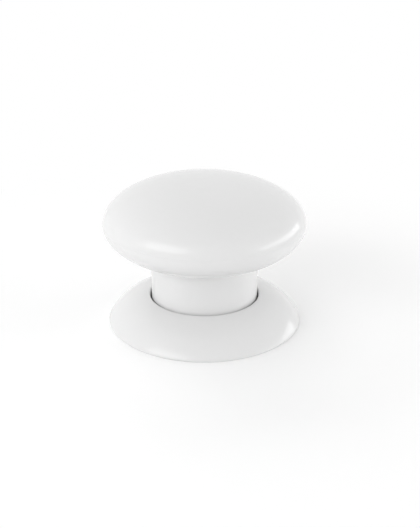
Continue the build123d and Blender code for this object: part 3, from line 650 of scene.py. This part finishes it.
class PRESSBUTTON_OT_cap_underside(bpy.types.Operator):
    """Model the lower shell of the cap, with the stem, its ledge and its guides"""

    bl_idname = "pressbutton.cap_underside"
    bl_label = "Cap underside"

    def execute(self, context):
        cap = context.scene.press_button_cap
        stem = context.scene.press_button_stem
        dome_inner = cap.radius - cap.dome_wall
        tongue_radius = dome_inner + cap.tongue_width
        inner_radius = cap.radius - cap.underside_wall
        inner_depth = cap.underside_depth - cap.underside_wall
        junction = math.acos(stem.top_radius / cap.radius)
        outer = draw_quarter(cap.radius, cap.equator, -cap.underside_depth, 0, junction)
        outer[0] = (cap.radius, cap.equator - cap.edge_break)
        ledge_turn = math.asin((cap.equator - stem.ledge_top) / inner_depth)
        tongue_bottom = cap.equator - cap.tongue_height
        tongue_turn = math.asin(cap.tongue_height / inner_depth)
        inner = draw_quarter(inner_radius, cap.equator, -inner_depth, ledge_turn, tongue_turn)
        inner = [point for point in inner if point[0] < dome_inner]
        section = (
            outer
            + [
                (stem.bottom_radius, stem.bottom + stem.end_break),
                (stem.bottom_radius - stem.end_break, stem.bottom),
                (stem.bore + stem.end_break, stem.bottom),
                (stem.bore, stem.bottom + stem.end_break),
                (stem.bore, stem.ledge_bottom),
                (stem.collar_radius, stem.ledge_bottom),
                (stem.collar_radius, stem.ledge_bottom - stem.collar_depth),
                (stem.collar_bore, stem.ledge_bottom - stem.collar_depth),
                (stem.collar_bore, stem.ledge_bottom),
                (stem.ledge_radius, stem.ledge_bottom),
                (stem.ledge_radius, stem.ledge_top),
            ]
            + inner
            + [
                (dome_inner, tongue_bottom),
                (dome_inner, cap.equator + cap.tongue_height),
                (tongue_radius, cap.equator + cap.tongue_height),
                (tongue_radius, cap.equator),
                (cap.radius - cap.edge_break, cap.equator),
            ]
        )
        underside = turn_section("cap_underside_shell", section, closed=True)
        round_ring(underside, *outer[-1], stem.fillet, FILLET_STEPS)
        for turn in KEY_TURNS:
            for side in (-1, 1):
                middle = side * stem.guide_offset
                guide = add_block(
                    (stem.guide_inner, middle - stem.guide_width / 2, stem.bottom),
                    (
                        (stem.bore + stem.bottom_radius) / 2,
                        middle + stem.guide_width / 2,
                        stem.bottom + stem.guide_rise,
                    ),
                    turn,
                )
                combine(underside, guide, "UNION")
        smooth(underside)
        dress(underside, "case_white")
        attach(underside, "cap")
        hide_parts("cap_underside")
        return {"FINISHED"}


class PRESSBUTTON_OT_return_spring(bpy.types.Operator):
    """Model the return spring between the ends of the imported one"""

    bl_idname = "pressbutton.return_spring"
    bl_label = "Return spring"

    def execute(self, context):
        sizes = context.scene.press_button_spring
        low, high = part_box("return_spring")
        span = high.z - low.z
        begin()
        bpy.ops.mesh.primitive_circle_add(
            vertices=sizes.wire_sides,
            radius=sizes.wire_radius,
            location=(high.x - sizes.wire_radius, 0, low.z),
            rotation=(math.pi / 2, 0, 0),
        )
        spring = name_piece("return_spring_coil")
        winding = spring.modifiers.new("Winding", "SCREW")
        winding.axis = "Z"
        winding.screw_offset = span / sizes.turns
        winding.iterations = sizes.turns
        winding.steps = winding.render_steps = sizes.turn_steps
        bpy.ops.object.modifier_apply(modifier=winding.name)
        bpy.ops.object.mode_set(mode="EDIT")
        bpy.ops.mesh.select_all(action="SELECT")
        bpy.ops.mesh.fill_holes(sides=0)
        bpy.ops.mesh.normals_make_consistent(inside=False)
        # The ends are ground flat, so the first and last turns lose half their wire
        for height, side in ((low.z, 1), (high.z, -1)):
            bpy.ops.mesh.select_all(action="SELECT")
            bpy.ops.mesh.bisect(
                plane_co=(0, 0, height),
                plane_no=(0, 0, side),
                use_fill=True,
                clear_inner=True,
                threshold=MERGE_DISTANCE,
            )
        bpy.ops.mesh.select_all(action="SELECT")
        bpy.ops.mesh.normals_make_consistent(inside=False)
        bpy.ops.object.mode_set(mode="OBJECT")
        smooth(spring)
        dress(spring, "spring_wire")
        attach(spring, "core")
        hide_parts("return_spring")
        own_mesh(spring)
        return {"FINISHED"}


class PRESSBUTTON_OT_base_shell(bpy.types.Operator):
    """Model the flared shell of the base, with its collar, ribs and screw bosses"""

    bl_idname = "pressbutton.base_shell"
    bl_label = "Base shell"

    def execute(self, context):
        base = context.scene.press_button_base
        hole_edge = (base.hole_radius, base.edge_height)
        floor = plate_low.z + base.plate_thickness
        centre, skin_radius, skin = draw_arc(
            hole_edge, (base.radius, base.rim_height), base.bulge
        )

        def inner_height(radius, wall):
            """Height of a surface under the skin at a radius."""
            return centre.y + math.sqrt((skin_radius - wall) ** 2 - (radius - centre.x) ** 2)

        seat_reach = centre.x + math.sqrt(
            (skin_radius - base.wall) ** 2 - (floor - centre.y) ** 2
        )
        reach = space_evenly(base.collar_radius, seat_reach)
        ceiling = [(radius, inner_height(radius, base.wall)) for radius in reversed(reach)]
        section = (
            skin
            + [
                (base.radius, base.rim_chamfer),
                (base.radius - base.rim_chamfer, 0),
                (base.seat_radius, 0),
                (base.seat_radius, floor),
            ]
            + ceiling
            + [
                (base.collar_radius, base.collar_bottom),
                (base.hole_radius, base.collar_bottom),
            ]
        )
        shell = turn_section("base_shell_skin", section, closed=True)
        round_ring(shell, *hole_edge, base.lip, LIP_STEPS)

        middle = [(radius, inner_height(radius, base.wall / 2)) for radius in reach]
        body = turn_section(
            "base_blank",
            middle + [(seat_reach, floor), (base.collar_radius, floor)],
            closed=True,
        )
        ribs = merge_all(
            [
                add_block(
                    (-base.radius, -base.rib_thickness / 2, floor),
                    (base.radius, base.rib_thickness / 2, base.edge_height),
                    turn,
                )
                for turn in RIB_TURNS
            ]
            + [
                add_post(base.boss_radius, floor, base.edge_height, base.boss_circle, turn)
                for turn in BOSS_TURNS
            ]
        )
        combine(ribs, body, "INTERSECT")
        combine(shell, ribs, "UNION")
        for turn in BOSS_TURNS:
            bore = add_post(
                base.boss_bore,
                floor - base.boss_bore_depth,
                floor + base.boss_bore_depth,
                base.boss_circle,
                turn,
            )
            combine(shell, bore, "DIFFERENCE")
        smooth(shell)
        dress(shell, "case_white")
        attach(shell, "base")
        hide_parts("base_shell")
        return {"FINISHED"}


class PRESSBUTTON_OT_inner_pieces(bpy.types.Operator):
    """Give every carried-over piece the finish of its material slot"""

    bl_idname = "pressbutton.inner_pieces"
    bl_label = "Inner pieces"

    def execute(self, context):
        for part in frame["record"]["subparts"]:
            node = frame["nodes"][part["node"]]
            node.data.materials.clear()
            node.data.materials.append(finish_of(part["material_slot"]))
        return {"FINISHED"}


# Lamps: name, turn and rise in degrees, distance, width and height in metres, brightness,
# and whether the gloss shows the lamp
LAMPS = (
    ("left_softbox", -133, 24, 0.60, 0.48, 0.30, 2.3, True),
    ("right_strip", 4, 8, 0.60, 0.80, 0.15, 2.3, True),
    ("left_fill", 190, 22, 0.70, 0.90, 0.26, 1.25, False),
    ("front_left_fill", -132, 50, 0.70, 0.60, 0.30, 0.4, False),
    ("front_fill", -80, 42, 0.80, 0.80, 0.30, 0.5, False),
    ("right_fill", -2, 14, 0.60, 0.60, 0.20, 2.3, False),
    ("back_fill", 110, 36, 0.80, 0.90, 0.35, 1.5, False),
    ("top_fill", 150, 72, 0.70, 0.50, 0.40, 0.8, False),
)


class PRESSBUTTON_OT_stage(bpy.types.Operator):
    """Lay the floor, hang the soft lamps and set up the camera"""

    bl_idname = "pressbutton.stage"
    bl_label = "Stage"

    def execute(self, context):
        stage = context.scene.press_button_stage
        self.lay_floor(stage)
        self.light_world(context.scene, stage)
        for lamp in LAMPS:
            self.hang_lamp(stage, *lamp)
        self.aim_camera(context.scene, stage)
        context.scene.view_settings.view_transform = "Standard"
        return {"FINISHED"}

    def lay_floor(self, stage):
        """A large floor that takes the object's shadow."""
        begin()
        bpy.ops.mesh.primitive_plane_add(size=stage.floor_side, location=(0, 0, 0))
        floor = name_piece("floor")
        finish = Finish("floor_white")
        dust = finish.grain(scale=60, detail=2)
        tone = tuple(stage.floor_colour)
        dusty = tuple(value - stage.floor_dust for value in tone)
        paper = finish.node("ShaderNodeBsdfDiffuse", {}, {"Color": finish.blend(dust, tone, dusty)})
        glow = finish.node("ShaderNodeEmission", {}, {"Color": WHITE, "Strength": 1.0})
        # Far from the object, the floor shows as plain white, and near it takes the shadow
        reach = finish.node("ShaderNodeVectorMath", {"operation": "LENGTH"}, {0: finish.place})
        fade = finish.node(
            "ShaderNodeMapRange",
            {"interpolation_type": "SMOOTHSTEP"},
            {
                "Value": reach.outputs["Value"],
                "From Min": stage.fade_start,
                "From Max": stage.fade_end,
            },
        )
        faded = finish.seen() * Signal(finish, fade.outputs["Result"])
        mix = finish.node(
            "ShaderNodeMixShader", {}, {"Fac": faded, 1: paper.outputs[0], 2: glow.outputs[0]}
        )
        finish.node("ShaderNodeOutputMaterial", {}, {"Surface": mix.outputs[0]})
        floor.data.materials.append(finish.material)

    def light_world(self, scene, stage):
        """A surround that shows as plain white, and lights the object less."""
        scene.world = bpy.data.worlds.new("surround")
        surround = Nodes(scene.world)
        light, shown = (
            surround.node("ShaderNodeBackground", {}, {"Color": WHITE, "Strength": strength})
            for strength in (stage.surround_light, 1.0)
        )
        mix = surround.node(
            "ShaderNodeMixShader",
            {},
            {"Fac": surround.seen(), 1: light.outputs[0], 2: shown.outputs[0]},
        )
        surround.node("ShaderNodeOutputWorld", {}, {"Surface": mix.outputs[0]})

    def hang_lamp(self, stage, name, turn, rise, distance, width, height, brightness, seen):
        """An area lamp that looks at the target; its power follows from its brightness."""
        begin()
        turn, rise = math.radians(turn), math.radians(rise)
        outward = Vector(
            (math.cos(turn) * math.cos(rise), math.sin(turn) * math.cos(rise), math.sin(rise))
        )
        target = Vector((0, 0, stage.target_height))
        bpy.ops.object.light_add(type="AREA", location=target + outward * distance)
        lamp = bpy.context.object
        lamp.name = name
        lamp.rotation_euler = outward.to_track_quat("Z", "Y").to_euler()
        lamp.data.shape = "RECTANGLE"
        lamp.data.size = width
        lamp.data.size_y = height
        lamp.data.energy = brightness * math.pi * width * height
        lamp.visible_glossy = seen

    def aim_camera(self, scene, stage):
        """A camera in front of the object, at the photograph's angle."""
        begin()
        rise = math.radians(stage.camera_rise)
        back = Vector((0, -math.cos(rise), math.sin(rise)))
        target = Vector((0, 0, stage.target_height))
        bpy.ops.object.camera_add(location=target + back * stage.camera_distance)
        camera = bpy.context.object
        camera.name = "camera"
        camera.rotation_euler = back.to_track_quat("Z", "Y").to_euler()
        camera.data.lens = stage.camera_lens
        camera.data.sensor_width = SENSOR_WIDTH
        camera.data.shift_x = stage.shift_x
        camera.data.shift_y = stage.shift_y
        scene.camera = camera


class PRESSBUTTON_PT_panel(bpy.types.Panel):
    """The pieces and the stage of the press button"""

    bl_label = "Press Button"
    bl_idname = "PRESSBUTTON_PT_panel"
    bl_space_type = "VIEW_3D"
    bl_region_type = "UI"
    bl_category = "Press Button"

    def draw(self, context):
        scene = context.scene
        for title, group, operators in (
            ("Cap", scene.press_button_cap, ("cap_dome", "cap_underside")),
            ("Stem", scene.press_button_stem, ()),
            ("Return spring", scene.press_button_spring, ("return_spring",)),
            ("Base", scene.press_button_base, ("base_shell", "inner_pieces")),
            ("Stage", scene.press_button_stage, ("stage",)),
        ):
            box = self.layout.box()
            box.label(text=title)
            for name in group.__annotations__:
                box.prop(group, name)
            for name in operators:
                box.operator("pressbutton." + name)


GROUPS = {
    "press_button_cap": CapSizes,
    "press_button_stem": StemSizes,
    "press_button_spring": SpringSizes,
    "press_button_base": BaseSizes,
    "press_button_stage": StageSettings,
}
CLASSES = (
    *GROUPS.values(),
    PRESSBUTTON_OT_cap_dome,
    PRESSBUTTON_OT_cap_underside,
    PRESSBUTTON_OT_return_spring,
    PRESSBUTTON_OT_base_shell,
    PRESSBUTTON_OT_inner_pieces,
    PRESSBUTTON_OT_stage,
    PRESSBUTTON_PT_panel,
)


def register():
    """Register the classes, and hang the groups of settings on the scene."""
    for made in CLASSES:
        bpy.utils.register_class(made)
    for name, group in GROUPS.items():
        setattr(bpy.types.Scene, name, bpy.props.PointerProperty(type=group))


def unregister():
    """Undo what register does."""
    for name in GROUPS:
        delattr(bpy.types.Scene, name)
    for made in reversed(CLASSES):
        bpy.utils.unregister_class(made)


def main():
    """Build the pieces and the stage."""
    register()
    bpy.ops.pressbutton.cap_dome()
    bpy.ops.pressbutton.cap_underside()
    bpy.ops.pressbutton.return_spring()
    bpy.ops.pressbutton.base_shell()
    bpy.ops.pressbutton.inner_pieces()
    bpy.ops.pressbutton.stage()


if __name__ == "__main__":
    main()
